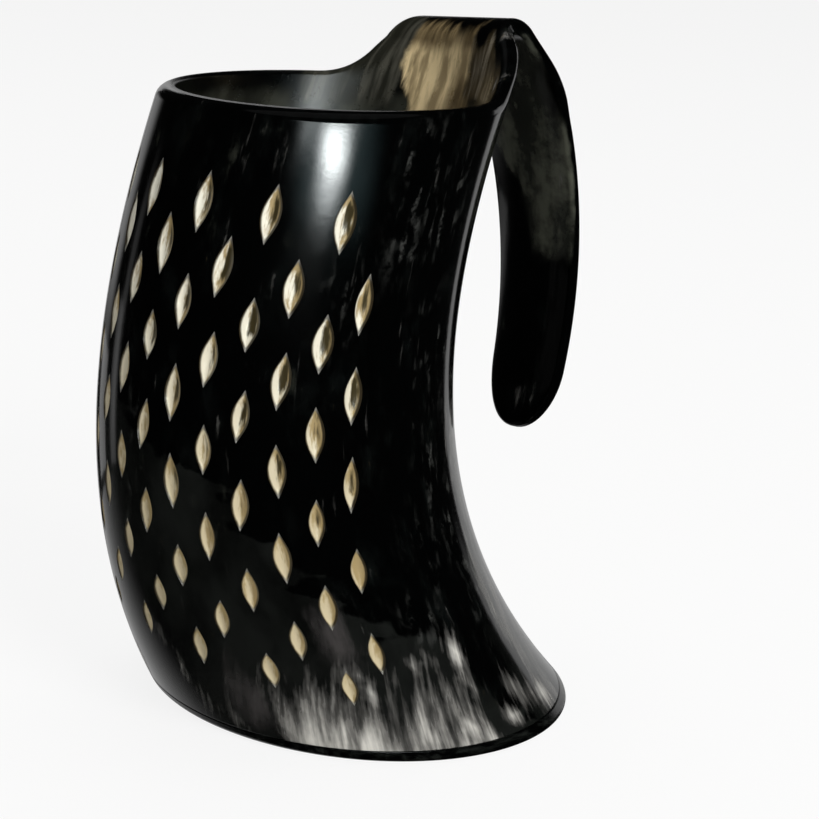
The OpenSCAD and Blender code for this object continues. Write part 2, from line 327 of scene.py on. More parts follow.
SEAM = math.radians(-105)
RIM_STEPS = 132
FILLET_STEPS = 10
RISER_STEPS = 26
LEG_STEPS = 44
TIP_STEPS = 16
LIP_STEPS = 5


def edge_loop(cup):
    """The edge of the horn from the seam round to the seam again: the rim is the line l = 0."""
    quarter = np.linspace(0, math.pi/2, FILLET_STEPS + 1)
    fillet = cup.root_fillet*(1 - np.cos(quarter))
    riser = np.linspace(cup.root_fillet, cup.riser_l + cup.bend_l, RISER_STEPS + 1)[1:]
    leg = np.linspace(cup.riser_l + cup.bend_l, cup.strap_l - cup.end_l, LEG_STEPS + 1)[1:]
    tip = cup.strap_l - cup.end_l + cup.end_l*np.sin(np.linspace(0, math.pi/2, TIP_STEPS + 1))[1:]
    up = np.concatenate([fillet, riser, leg, tip])
    near, far = strap_angles(cup, up)
    before = np.linspace(SEAM, math.pi - near[0], RIM_STEPS, endpoint=False)
    after = np.linspace(math.pi + far[0], SEAM + 2*math.pi, RIM_STEPS//8 + 1)[1:]
    a = np.concatenate([before, math.pi - near, (math.pi + far)[-2::-1], after])
    l = np.concatenate([0*before, up, up[-2::-1], 0*after])
    return a, l


def inward(cup, a, l):
    """Steps of a and l per metre that lead square away from the edge, into the sheet: the direction
    across the normal and the edge, written in the two slopes by least squares. Gives the direction
    and the normal too."""
    by_a, by_l, normal = slopes(cup, a, l, cup.wall/2)
    along = unit(by_a*np.gradient(a)[:, None] + by_l*np.gradient(l)[:, None])
    along[0] = along[-1] = unit(by_a[0])
    into = np.cross(along, normal)
    aa, al, ll = (by_a*by_a).sum(-1), (by_a*by_l).sum(-1), (by_l*by_l).sum(-1)
    ia, il = (into*by_a).sum(-1), (into*by_l).sum(-1)
    det = aa*ll - al*al
    return (ia*ll - il*al)/det, (il*aa - ia*al)/det, into, normal


def lip(cup, a, l):
    """The rounded edge, a profile carried along the edge loop: a quarter circle down from the outer
    face, a flat, and a quarter circle up to the inner face. Gives a, l, t and the normals on a grid."""
    risen = ease(l/cup.riser_l)[:, None]
    outer_r, inner_r = mix(cup.lip_r, cup.edge_r, risen), mix(cup.lip_inner_r, cup.edge_r, risen)
    quarter = np.linspace(0, math.pi/2, LIP_STEPS + 1)
    cos, sin = 1 - np.cos(quarter), 1 - np.sin(quarter)
    back = np.concatenate([outer_r*sin, inner_r*cos], 1)
    depth = np.concatenate([outer_r*cos, cup.wall - inner_r*sin], 1)
    da, dl, into, normal = inward(cup, a, l)
    lean = np.concatenate([quarter, quarter + math.pi/2])[None, :, None]
    normals = normal[:, None]*np.cos(lean) - into[:, None]*np.sin(lean)
    return a[:, None] + back*da[:, None], l[:, None] + back*dl[:, None], depth, normals


# Notches


def notch_places(cup, notches):
    """Middle of each notch in (a, l), its length, width and turn, how strong the painted shade in its hollow
    is, and how far down the cup it is. Rows are level lines that dip by the cosine of the angle from their
    crown, and every second place of a row is left out. Higher rows have larger notches with stronger painted
    shade in their hollows."""
    chance = np.random.default_rng(7)
    columns = np.arange(-notches.reach, notches.reach + 1)
    row, column = np.meshgrid(np.arange(notches.rows), columns, indexing="ij")
    used = (row + column)%2 == 0
    row, column = row[used], column[used]
    level = notches.top - row*notches.pitch
    half_x, half_y = half_widths(cup, level/cup.rim_h)
    a = notches.shift + row*notches.lean + column*notches.step/(half_x + half_y)
    dip = notches.dip*(math.cos(notches.crown) - np.cos(a - notches.crown))
    l = level - dip*np.where(row == 0, notches.top_dip, 1) - cup.rim_h
    down = row/(notches.rows - 1)
    waver = chance.normal(0, notches.waver, (3, len(a)))
    long = mix(notches.top_l, notches.low_l, down)*(1 + waver[0])
    wide = mix(notches.top_w, notches.low_w, down)*(1 + waver[1])
    # Strength of the painted shade in each notch's hollow, strongest in the upper rows
    dark = np.clip(1.2 - 1.3*down, 0, 1)*chance.uniform(0.35, 1, len(a))
    return a, l, long, wide, waver[2] + notches.low_turn*down, dark, down


def notch_grid(cup, notches, along=12, across=10):
    """Each notch is a boat-shaped scoop. With u from -1 to 1 along it and q from -1 to 1 across it, its
    half width is w = (1 - u*u)**point of the widest and its depth w(1 - q*q) of the deepest. Gives a, l,
    t, the normals, and what the paint reads, each with one entry per notch, u and q."""
    a, l, long, wide, turned, dark, down = (v[:, None, None] for v in notch_places(cup, notches))
    u = np.sin(np.linspace(-math.pi/2, math.pi/2, 2*along + 1))[None, :, None]
    q = np.sin(np.linspace(-math.pi/2, math.pi/2, across + 1))[None, None, :]
    slack = np.maximum(0, 1 - u*u)
    w = slack**notches.point
    w_slope = -2*notches.point*u*slack**(notches.point - 1)
    rise, side = u*long/2, q*w*wide/2
    by_a, by_l, _ = slopes(cup, a, l, 0*a)
    a = a + (side*np.cos(turned) + rise*np.sin(turned))/np.linalg.norm(by_a, axis=-1)
    l = l + (rise*np.cos(turned) - side*np.sin(turned))/np.linalg.norm(by_l, axis=-1)
    t = notches.depth*w*(1 - q*q) + 0*a
    by_a, by_l, normal = slopes(cup, a, l, 0*a)
    dip_side = -4*notches.depth*q/wide
    dip_rise = 2*notches.depth*w_slope*(1 + q*q)/long
    normal = unit(normal + dip_side[..., None]*unit(by_a) + dip_rise[..., None]*unit(by_l))
    # The third look carries the strength of the painted shade in the hollow. The last, the row's share down
    # the cup, sets how bright the painted lit side is.
    looks = {"cut_across": q, "cut_along": u, "cut_dark": dark, "cut_low": down}
    return a, l, t, normal, {key: np.broadcast_to(values, a.shape) for key, values in looks.items()}


# Meshes

FILL_BLOCKS = 40  # The gaps to the loops are measured block by block, which saves memory


def fill_face(boundary, holes, inside, gap):
    """Triangles of a flat region: its boundary loop, the loops of the holes, and those of the loose
    points that lie inside it and no nearer than the gap to any loop. Gives the points and triangles."""
    loops = [boundary, *holes]
    fixed = np.concatenate(loops)
    near = np.full(len(inside), np.inf)
    for block in np.array_split(fixed, FILL_BLOCKS):
        near = np.minimum(near, np.linalg.norm(inside[:, None] - block[None], axis=-1).min(1))
    points = np.concatenate([fixed, inside[near > gap]])
    ends = np.cumsum([0] + [len(loop) for loop in loops])
    rings = [list(range(first, last)) for first, last in zip(ends, ends[1:])]
    found = delaunay_2d_cdt([Vector(p) for p in points.tolist()], [], rings, 1, 1e-7, True)
    sheet = [face for face, origin in zip(found[2], found[5]) if list(origin) == [0]]
    source = np.array([origin[0] for origin in found[3]])
    return points, source[np.array(sheet)]


def grid_faces(rows, columns, wrap_rows=False, wrap_columns=False):
    """Quads between the points of a grid whose points are numbered row by row."""
    j = np.arange(rows if wrap_rows else rows - 1)[:, None]
    i = np.arange(columns if wrap_columns else columns - 1)[None, :]
    j1, i1 = (j + 1)%rows, (i + 1)%columns
    corners = np.broadcast_arrays(j*columns + i, j*columns + i1, j1*columns + i1, j1*columns + i)
    return np.stack(corners, -1).reshape(-1, 4)


def outward_order(points, faces, normals):
    """Turns round each face whose own normal points against the normals of its corners."""
    corner = points[faces]
    own = np.cross(corner[:, 1] - corner[:, 0], corner[:, 2] - corner[:, 0])
    if faces.shape[1] == 4:
        own = own + np.cross(corner[:, 2] - corner[:, 0], corner[:, 3] - corner[:, 0])
    against = (own*normals[faces].sum(1)).sum(-1) < 0
    faces = faces.copy()
    faces[against] = faces[against][:, ::-1]
    return faces


def add_mesh(name, points, faces, layers):
    """A mesh object at the origin, with layers as attributes: each has one entry per point."""
    mesh = bpy.data.meshes.new(name)
    mesh.from_pydata(points.reshape(-1, 3).tolist(), [], faces)
    for key, values in layers.items():
        values = np.asarray(values, np.float32)
        kind, slot = ("FLOAT_VECTOR", "vector") if values.ndim == 2 else ("FLOAT", "value")
        mesh.attributes.new(key, kind, "POINT").data.foreach_set(slot, values.ravel())
    piece = bpy.data.objects.new(name, mesh)
    bpy.context.scene.collection.objects.link(piece)
    return piece


def make_piece(name, points, groups, **layers):
    """A piece of the cup from an array of points and groups of faces. Each group has the faces' point
    numbers, the normals of all points as that group sees them, and its material number."""
    faces, kinds, normals = [], [], []
    for ids, seen, kind in groups:
        ids = outward_order(points, ids, seen)
        joined = [[v for k, v in enumerate(face) if v != face[k - 1]] for face in ids.tolist()]
        faces += joined
        kinds += [kind]*len(joined)
        normals.append(seen[np.concatenate(joined)])
    used, place = np.unique(np.concatenate(faces), return_inverse=True)
    ends = np.cumsum([0] + [len(face) for face in faces])
    faces = [place[first:last].tolist() for first, last in zip(ends, ends[1:])]
    piece = add_mesh(name, points[used], faces, {key: values[used] for key, values in layers.items()})
    mesh = piece.data
    mesh.polygons.foreach_set("use_smooth", np.ones(len(faces), bool))
    mesh.polygons.foreach_set("material_index", np.array(kinds, np.int32))
    mesh.normals_split_custom_set(np.concatenate(normals).tolist())
    mesh.update()
    return piece


def settle(piece, node, materials):
    """Gives a piece its materials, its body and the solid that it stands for."""
    for material in materials:
        piece.data.materials.append(material)
    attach(piece, BODY)
    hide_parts(node)


# Horn body

SPACING = 1.7*MM
BEND_SPACING = 0.8*MM
LEAST_GAP = 0.55
STRAP_TURN = math.radians(66)  # Widest angle of the loose points on the strap from its middle
STRAP_COLUMNS = 41
FOOT_STEPS = 4


def loose_points(cup, wall_l):
    """Points for the inside of a face: staggered rows on the wall, and closer rows up the strap's
    riser and round its tight bend."""
    count = round(math.pi*cup.rim_d/SPACING)
    a, l = np.meshgrid(SEAM + np.arange(count)*2*math.pi/count, wall_l[1:-1])
    a[1::2] += math.pi/count
    rise = np.concatenate([np.arange(BEND_SPACING, cup.riser_l + cup.bend_l, BEND_SPACING),
                           np.arange(cup.riser_l + cup.bend_l, cup.strap_l, SPACING)])
    near, far = (angle[:, None] for angle in strap_angles(cup, rise))
    beside, up = np.meshgrid(np.linspace(-1, 1, STRAP_COLUMNS)*STRAP_TURN, rise)
    keep = (beside > -near) & (beside < far)
    return np.stack([np.concatenate([a.ravel(), math.pi + beside[keep]]),
                     np.concatenate([l.ravel(), up[keep]])], -1)


def face_sheet(cup, low, top_a, top_l, holes):
    """One face of the horn in (a, l): from its lower edge up to the loop where its rounding starts.
    Gives a and l, the triangles, and the point numbers of its lower edge, upper edge and holes.
    The two sides of the seam share their points."""
    wall_l = np.linspace(low, 0, round(-low/SPACING) + 1)
    seam_l = wall_l[wall_l < top_l[0] - SPACING/2]
    bottom_n = round(math.pi*cup.rim_d/SPACING)
    bottom_a = SEAM + np.arange(bottom_n)*2*math.pi/bottom_n
    loop = np.concatenate([
        np.stack([bottom_a, np.full(bottom_n, low)], -1),
        np.stack([np.full(len(seam_l), SEAM + 2*math.pi), seam_l], -1),
        np.stack([top_a, top_l], -1)[::-1],
        np.stack([np.full(len(seam_l) - 1, SEAM), seam_l[:0:-1]], -1)])
    arc = np.array([cup.rim_d/2, 1])
    points, triangles = fill_face(loop*arc, [hole*arc for hole in holes], loose_points(cup, wall_l)*arc,
                                  LEAST_GAP*SPACING)
    right = bottom_n + np.arange(len(seam_l))
    top = right[-1] + 1 + np.arange(len(top_a))[::-1]
    left = top[0] + 1 + np.arange(len(seam_l) - 1)[::-1]
    shared = np.arange(len(points))
    shared[right] = np.concatenate([[0], left])
    shared[top[-1]] = top[0]
    a, l = (points/arc).T
    return a, l, shared[triangles], np.arange(bottom_n), top[:-1], len(loop)


# Patches of worn horn on the outer face, as (angle in degrees, height along the horn from the table,
# half width in degrees, half height, share); heights are in millimetres
WORN_PATCHES = (
    (34, 5, 4, 4, 0.6), (38, 5, 4, 5, 0.9), (44.5, 4.5, 5, 6, 1.05), (54.5, 4.5, 6, 6, 1.05),
    (65, 4, 5, 5, 0.9), (74, 5, 5, 5, 1.0), (85, 7, 4, 5, 1.15), (88, 3.5, 5, 2.5, 0.6),
    (42.5, 14, 3, 7, 0.75), (50, 12, 2, 6, 0.6), (59, 22.5, 4, 5, 0.7), (62.5, 19, 3, 8, 0.85),
    (66, 30, 4, 7, 0.5), (71, 21, 3, 5, 0.5), (79, 24, 3, 3, 0.8), (85, 24, 2.5, 4, 0.7),
    (94.5, 24, 3, 5, 1.1), (93.5, 18, 2.5, 6, 0.75), (79.5, 13.5, 6, 6, 0.6), (110, 11, 5.5, 6, 0.95),
    (101.5, 6.5, 4, 3, 1.1), (121, 7, 6, 5, 0.95), (137, 20, 8, 14, 0.62), (8, 18, 2.2, 7, 0.8),
    (4, 24, 2.5, 5, 0.5), (12, 9, 4, 5, 0.5), (20, 6, 3, 4, 0.5), (151, 10, 6, 6, 0.7),
    (128, 40, 6, 12, 0.6), (130, 58, 5, 11, 0.5), (122, 74, 4, 10, 0.45), (124, 26, 5, 10, 0.5))

# The same for worn edges and marks of the strap, at any depth
EDGE_PATCHES = (
    (227, 150, 4, 2.5, 1.1), (219, 152, 1.6, 1.6, 0.8), (190, 273, 14, 2.5, 1.2), (172, 275.5, 12, 2, 1.0),
    (143.5, 148, 3, 2, 1.0), (157, 159, 2, 4, 0.7), (154, 147, 2, 4, 0.6), (212, 153, 1.5, 5, 0.35),
    (178, 262, 2.5, 3, 0.5), (134, 160, 3, 3, 0.5))

# Where small flecks gather on the outer face
FLECK_PATCHES = (
    (91, 131, 7, 9, 0.8), (103, 123, 7, 8, 0.8), (84, 137, 5, 6, 0.6), (88, 118, 5, 6, 0.6),
    (115, 93, 7, 10, 0.7), (103, 97, 5, 7, 0.6), (127, 74, 6, 9, 0.9), (108, 65, 5, 10, 0.7),
    (118, 52, 6, 9, 0.8), (122, 41, 7, 9, 1.0), (100, 85, 5, 8, 0.5), (70, 106, 6, 8, 0.4),
    (97, 46, 6, 8, 0.5), (88, 33, 6, 5, 0.5), (118, 30, 8, 7, 0.7), (2, 66, 6, 12, 0.5),
    (-40, 90, 20, 30, 0.7), (165, 70, 18, 40, 0.8))

# Grey haze low on the wall, the foot's angle without smoke, the waist's height, and the riser's knot
HAZE_PATCHES = ((60, 31, 9, 12, 1), (28, 12, 8, 12, 0.8))
CLEAR_TURN, CLEAR_HALF = 103, 8
WAIST_Z = 66
KNOT = (169, 157.5, 7, 4.2, 1)


def bells(patches, deg, z):
    """Each patch at each point, a smooth bell in angle and height."""
    middle, height, half_turn, half_rise, strength = np.array(patches).T
    across = (deg[:, None] - middle + 180)%360 - 180
    return strength*np.exp(-(across/half_turn)**2 - ((z[:, None] - height)/half_rise)**2)


def far_patches():
    """Worn patches for the side of the foot that the photo doesn't show, from seeded chance."""
    chance = np.random.default_rng(3)
    count = 34
    turns = chance.uniform(150, 345, count)
    heights = 3 + 24*chance.uniform(0, 1, count)**1.7
    half_turns, half_heights = chance.uniform(2, 7, count), chance.uniform(3, 8, count)
    return np.stack([turns, heights, half_turns, half_heights, chance.uniform(0.5, 1.15, count)], -1)


def band(x, low, high, soft):
    """1 between low and high, with ends that fade over the soft width."""
    return ease((x - low)/soft + 0.5)*ease((high - x)/soft + 0.5)


def zones(cup, a, l, t):
    """Soft shares of each finish at every point of the horn: products of smooth steps and bells in the
    angle in degrees, the height in millimetres from the table or up from the rim, and the depth as a
    share of the wall."""
    z = (cup.rim_h + l)/MM
    up = l/MM
    deg = np.degrees((a - SEAM)%(2*math.pi) + SEAM)
    depth = t/cup.wall
    outer = 1 - ease(depth/0.5)
    inner = ease((depth - 0.5)/0.3)
    deep = ease((depth - 0.3)/0.4)

    # The foot's smoke ends at a height that sways round the cup. The wall's ends at an angle that falls
    # with the height, faster above the waist, with scallops on it.
    foot = ease((24 + 6*np.cos(a - 1.1) - z)/9 + 0.5)*(1 - np.exp(-((deg - CLEAR_TURN)/CLEAR_HALF)**2))
    over = z - WAIST_Z
    smoke_deg = 33 - over*np.where(over < 0, 1.14, 3.2)
    scallops = 4*np.sin(z*0.42) + 3*np.sin(z*0.97 + 1) + 2*np.sin(z*2.1 + deg*0.3)
    smoke = ease((smoke_deg + scallops - deg)/14 + 0.5)*ease((deg + 95)/25)
    foot_wear = 0.95*ease((34 - z)/36)*band(deg, 33, 92, 6) + 0.3*ease((13 - z)/9)*band(deg, 32, 60, 6)
    patches = np.concatenate([WORN_PATCHES, far_patches()])
    worn = np.maximum(bells(patches, deg, z).max(1), foot_wear)*outer
    flank = ease((deg - 118 - 0.06*z)/10 + 0.5)*ease((152 - deg)/22)
    risen = np.maximum(0, up)
    tan_turn = ease((deg - 168)/11 + 0.5)*ease((208.5 + 0.95*(up - 3) - deg)/10 + 0.5)
    return {
        "worn": np.maximum(worn, bells(EDGE_PATCHES, deg, z).max(1)),
        "fleck": bells(FLECK_PATCHES, deg, z).max(1)*outer,
        "smoke": np.maximum(smoke, foot)*outer*(l < 0),
        "haze": bells(HAZE_PATCHES, deg, z).sum(1)*outer,
        "leg": band(up, 20, 79 - 0.35*(deg - 172), 18)*outer*band(deg, 158, 198 - 14*ease((up - 46)/18), 12),
        "flank": 0.9*band(z, 6, 84, 60)*flank*outer*(l < 0),
        "olive": 0.75*inner*(1 - 0.8*ease((up + 8)/8)),
        "inside": inner,
        "tan": ease(depth/0.5 - 0.6)*band(up, -16, 13, 9)*tan_turn,
        "browned": np.maximum(ease((up - 4)/8), 0.75*ease((190 - deg)/16)*ease((6 - up)/8)),
        "riser": deep*band(up, -8, 16, 8)*band(deg, 206, 245, 8),
        # Where light strokes are painted in as a highlight along the strap's edge, on brown horn
        "strokes": ease((depth - 0.6)/0.3)*band(up, -3, 12.5, 5)*band(deg, 146 + 1.3*risen, 174, 5),
        "knot": deep*bells([KNOT], deg, z)[:, 0]}


GRAIN_TWIST = math.radians(0.45)/MM
GRAIN_FOOT = 30*MM


def horn_layers(cup, a, l, t):
    """Attributes that the horn's materials read: the point in the straight horn, turned back a little
    towards the foot so that the grain runs nearly upright there, and the zones."""
    round_r = cup.rim_d/2 - t
    turned = a + GRAIN_TWIST*np.maximum(0, GRAIN_FOOT - cup.rim_h - l)
    grain = np.stack([round_r*np.cos(turned), round_r*np.sin(turned), l], -1)
    return {"grain": grain, **zones(cup, a, l, t)}


def numbered(first, rows, columns):
    """Point numbers on a grid, from the first on."""
    return first + np.arange(rows*columns).reshape(rows, columns)


def build_horn(cup, notches):
    """The horn as one closed mesh: outer face with scooped notches, rounded edge, inner face and foot."""
    lip_a, lip_l, lip_t, lip_normal = (v[:-1] for v in lip(cup, *edge_loop(cup)))
    cut_a, cut_l, cut_t, cut_normal, cut_looks = notch_grid(cup, notches)
    count, n_u, n_q = cut_a.shape
    cuts = np.stack([cut_a, cut_l], -1)
    holes = np.concatenate([cuts[:, :, -1], cuts[:, -2:0:-1, 0]], 1)

    low = cup.flange_t - cup.rim_h
    whole = np.append(np.arange(len(lip_a)), 0)
    turn_over = np.zeros(len(whole))
    turn_over[-1] = 2*math.pi
    out_a, out_l, out_faces, out_foot, out_top, first_hole = face_sheet(
        cup, low + cup.joint_r, lip_a[whole, 0] + turn_over, lip_l[whole, 0], holes)
    in_a, in_l, in_faces, in_foot, in_top, _ = face_sheet(
        cup, low, lip_a[whole, -1] + turn_over, lip_l[whole, -1], [])

    quarter = np.linspace(0, math.pi/2, FOOT_STEPS + 1)[None, 1:]
    foot_a = out_a[out_foot][:, None] + 0*quarter
    foot_l = low + cup.joint_r*(1 - np.sin(quarter)) + 0*foot_a
    foot_t = cup.joint_r*(1 - np.cos(quarter)) + 0*foot_a

    parts = [(out_a, out_l, 0*out_a),
             (in_a, in_l, 0*in_a + cup.wall),
             [v[:, 1:-1] for v in (lip_a, lip_l, lip_t)],
             [v[:, 1:-1, 1:-1] for v in (cut_a, cut_l, cut_t)],
             (foot_a, foot_l, foot_t)]
    first_in, first_lip, first_cut, first_foot, _ = np.cumsum([part[0].size for part in parts])
    a, l, t = (np.concatenate([v.ravel() for v in kind]) for kind in zip(*parts))
    points = bent_horn(cup, a, l, t)

    rows, columns = lip_a.shape
    lip_ids = np.concatenate([out_top[:, None], numbered(first_lip, rows, columns - 2),
                              first_in + in_top[:, None]], 1)
    foot_ids = np.concatenate([out_foot[:, None], numbered(first_foot, *foot_a.shape),
                               first_in + in_foot[:, None]], 1)
    hole_ids = numbered(first_hole, count, holes.shape[1])
    cut_ids = np.empty(cut_a.shape, int)
    cut_ids[:, 1:-1, 1:-1] = numbered(first_cut, count*(n_u - 2), n_q - 2).reshape(count, n_u - 2, -1)
    cut_ids[:, :, -1] = hole_ids[:, :n_u]
    cut_ids[:, 1:-1, 0] = hole_ids[:, :n_u - 1:-1]
    cut_ids[:, 0] = hole_ids[:, :1]
    cut_ids[:, -1] = hole_ids[:, n_u - 1:n_u]

    plain = slopes(cup, a, l, t)[2]
    plain[first_in:first_lip] *= -1
    plain[first_lip:first_cut] = lip_normal[:, 1:-1].reshape(-1, 3)
    lean = quarter[..., None]
    side = slopes(cup, foot_a, foot_l, foot_t)[2]
    plain[first_foot:] = (side*np.cos(lean) - np.array([0, 0, 1])*np.sin(lean)).reshape(-1, 3)
    scooped = plain.copy()
    scooped[cut_ids[:, :, -1]] = cut_normal[:, :, -1]
    scooped[cut_ids[:, 1:-1, 0]] = cut_normal[:, 1:-1, 0]
    scooped[first_cut:first_foot] = cut_normal[:, 1:-1, 1:-1].reshape(-1, 3)

    groups = [
        (out_faces, plain, 0),
        (first_in + in_faces, plain, 0),
        (lip_ids.ravel()[grid_faces(*lip_ids.shape, wrap_rows=True)], plain, 0),
        (foot_ids.ravel()[grid_faces(*foot_ids.shape, wrap_rows=True)], plain, 0),
        (cut_ids.reshape(count, -1)[:, grid_faces(n_u, n_q)].reshape(-1, 4), scooped, 1)]
    layers = horn_layers(cup, a, l, t)
    for key, values in cut_looks.items():
        layers[key] = np.zeros(len(a))
        layers[key][cut_ids] = values
    return make_piece("horn_body_carved", points, groups, **layers)


# Rings: the plate and the bead, as profiles carried round the horn's oval

AROUND = 192
CAP_RINGS = (0.0, 0.35, 0.7)


def ring_body(cup, name, profile, capped):
    """A profile of (height above the table, depth, normal's turn from outward towards up) carried
    round the horn's oval. A capped one is filled at both ends with rings that shrink to a middle
    point, and another joins its last ring to its first."""
    z, t, lean = (np.array(column)[:, None] for column in zip(*profile))
    a = np.linspace(0, 2*math.pi, AROUND, endpoint=False)[None]
    l = z - cup.rim_h
    points = bent_horn(cup, a, l, t)
    side = slopes(cup, a, l, t)[2]
    normals = side*np.cos(lean)[..., None] + np.array([0, 0, 1])*np.sin(lean)[..., None]
    if capped:
        bottom, top = (mix(np.array([centre_x(cup, z[ring, 0]/cup.rim_h), 0, z[ring, 0]]), points[ring],
                           np.array(CAP_RINGS)[:, None, None]) for ring in (0, -1))
        points = np.concatenate([bottom, points, top[::-1]])
        normals = np.concatenate([0*bottom - np.array([0, 0, 1]), normals, 0*top + np.array([0, 0, 1])])
    rows = len(points)
    ids = np.arange(rows*AROUND)
    if capped:
        ids[:AROUND] = 0
        ids[-AROUND:] = ids[-1]
    faces = ids[grid_faces(rows, AROUND, wrap_rows=not capped, wrap_columns=True)]
    return make_piece(name, points.reshape(-1, 3), [(faces, normals.reshape(-1, 3), 0)])


def arc(centre_z, centre_t, r, start, end, steps, inwards=False):
    """Points of a rounding in a profile. Angles are turns of the normal from outward towards up, and a
    hollow rounding has its normals turned inwards."""
    turns = np.linspace(math.radians(start), math.radians(end), steps + 1)
    flip = math.pi if inwards else 0
    return [(centre_z + r*math.sin(k), centre_t - r*math.cos(k), k + flip) for k in turns]


def build_plate(cup):
    """The plate: a rounded lower edge, the flange that the wall stands on, and the step inside the wall."""
    step_t = cup.wall + cup.glue_gap
    r, j, s = cup.plate_edge, cup.joint_r, cup.plate_edge/3
    profile = [
        *arc(r, r, r, -90, 0, 8),
        *arc(cup.flange_t - j, j, j, 0, 90, 4),
        (cup.flange_t, step_t, math.pi/4),
        *arc(plate_high - s, step_t + s, s, 0, 90, 4)]
    return ring_body(cup, "base_plate_polished", profile, True)


def build_bead(cup):
    """The bead: its back follows the wall, its foot the floor, and its face is a hollow quarter circle."""
    back_t = cup.wall + cup.bead_gap
    r = bead_high - bead_low - cup.bead_gap
    profile = [
        (bead_low, back_t, -math.pi/4),
        *arc(bead_low + r, back_t + r, r, 0, -90, 8, inwards=True)]
    return ring_body(cup, "seal_bead_resin", profile, False)


# Materials


class Signal:
    """A node's output. Sums, differences, products and abs() of it add Math nodes."""

    def __init__(self, finish, socket):
        self.finish, self.socket = finish, socket

    def __add__(self, other):
        return self.finish.math("ADD", self, other)

    def __sub__(self, other):
        return self.finish.math("SUBTRACT", self, other)

    def __rsub__(self, other):
        return self.finish.math("SUBTRACT", other, self)

    def __mul__(self, other):
        return self.finish.math("MULTIPLY", self, other)

    def __abs__(self):
        return self.finish.math("ABSOLUTE", self)


class Finish:
    """The nodes of a material or a world. Each method adds a node and gives back its output; an input is
    a number, a colour, a vector or another node's output."""

    def __init__(self, name, kind="materials"):
        self.owner = getattr(bpy.data, kind).new(name)
        self.owner.use_nodes = True
        self.nodes, self.links = self.owner.node_tree.nodes, self.owner.node_tree.links
        self.nodes.clear()

    def node(self, kind, inputs, output=0, **settings):
        """Adds a node. Inputs and the output are named or counted, and settings are the node's own."""
        made = self.nodes.new("ShaderNode" + kind)
        for key, value in settings.items():
            setattr(made, key, value)
        for key, value in inputs.items():
            socket = made.inputs[key]
            if isinstance(value, Signal):
                self.links.new(value.socket, socket)
            else:
                socket.default_value = (*value, 1) if socket.type == "RGBA" else value
        return Signal(self, made.outputs[output])

    def end(self, shader):
        """Links the shader to the output, and gives back the material or the world."""
        kind = "World" if isinstance(self.owner, bpy.types.World) else "Material"
        self.links.new(shader.socket, self.nodes.new("ShaderNodeOutput" + kind).inputs["Surface"])
        return self.owner

    def math(self, operation, *values):
        return self.node("Math", dict(enumerate(values)), operation=operation)

    def attribute(self, name, output="Fac"):
        return self.node("Attribute", {}, output, attribute_name=name)

    def noise(self, vector, scale, detail=3, roughness=0.55, distortion=0, stretch=(1, 1, 1)):
        """Noise whose scale is multiplied by the stretch along each axis."""
        place = self.node("Mapping", {"Vector": vector, "Scale": stretch})
        return self.node("TexNoise", {"Vector": place, "Scale": scale, "Detail": detail,
                                      "Roughness": roughness, "Distortion": distortion})

    def on_place(self, *numbers, **named):
        """Noise on the object's own coordinates."""
        return self.noise(self.node("TexCoord", {}, "Object"), *numbers, **named)

    def on_grain(self, along, *numbers):
        """Noise on the horn's grain, with another scale along the horn."""
        return self.noise(self.attribute("grain", "Vector"), *numbers, stretch=(1, 1, along))

    def step(self, value, low, high):
        """A smooth step from 0 where the value is low to 1 where it is high."""
        return self.node("MapRange", {"Value": value, "From Min": low, "From Max": high},
                         interpolation_type="SMOOTHSTEP")

    def mix(self, share, first, second, blend="MIX"):
        inputs = {"Factor": share, 6: first, 7: second}
        return self.node("Mix", inputs, 2, data_type="RGBA", blend_type=blend)

    def pair(self, value, low, high, first, second):
        """The first colour where the value is low and the second where it is high."""
        return self.mix(self.step(value, low, high), first, second)

    def seen(self):
        """1 for the camera, a gloss or a clear body that looks here, and 0 for light that spreads."""
        camera, gloss, clear = (self.node("LightPath", {}, f"Is {kind} Ray")
                                for kind in ("Camera", "Glossy", "Transmission"))
        return self.math("MAXIMUM", self.math("MAXIMUM", camera, gloss), clear)

    def surface(self, paint, roughness, ior, height, distance):
        """Ends a material with a Principled shader, whose bump follows the height."""
        bump = self.node("Bump", {"Height": height, "Distance": distance, "Strength": 1})
        return self.end(self.node("BsdfPrincipled", {
            "Base Color": paint, "Roughness": roughness, "IOR": ior, "Normal": bump}))


HORN_IOR = 1.56
RESIN_IOR = 1.5

# Noises in the horn: scale along it as a share of the scale across, scale, detail, roughness, distortion
HORN_NOISES = {
    "threads": (0.1, 900, 3, 0.55),
    "streaks": (0.12, 330, 4, 0.6),
    "broad": (0.5, 130, 5, 0.65),
    "blots": (1, 240, 5, 0.7),
    "strokes": (0.22, 640, 4, 0.6, 0.3),
    "drift": (0.6, 60, 4, 0.6),
    "mottle": (0.4, 105, 3, 0.55),
    "brushed": (0.3, 520, 1, 0.5)}
CUT_NOISES = {"fibres": (0.12, 1500, 3, 0.6), "cloud": (0.5, 200, 4, 0.6)}

# How much the strands darken and brighten the tan
STRAND_DARK, STRAND_LIGHT = (0.45, 0.42, 0.37), (1.15, 1.13, 1.08)


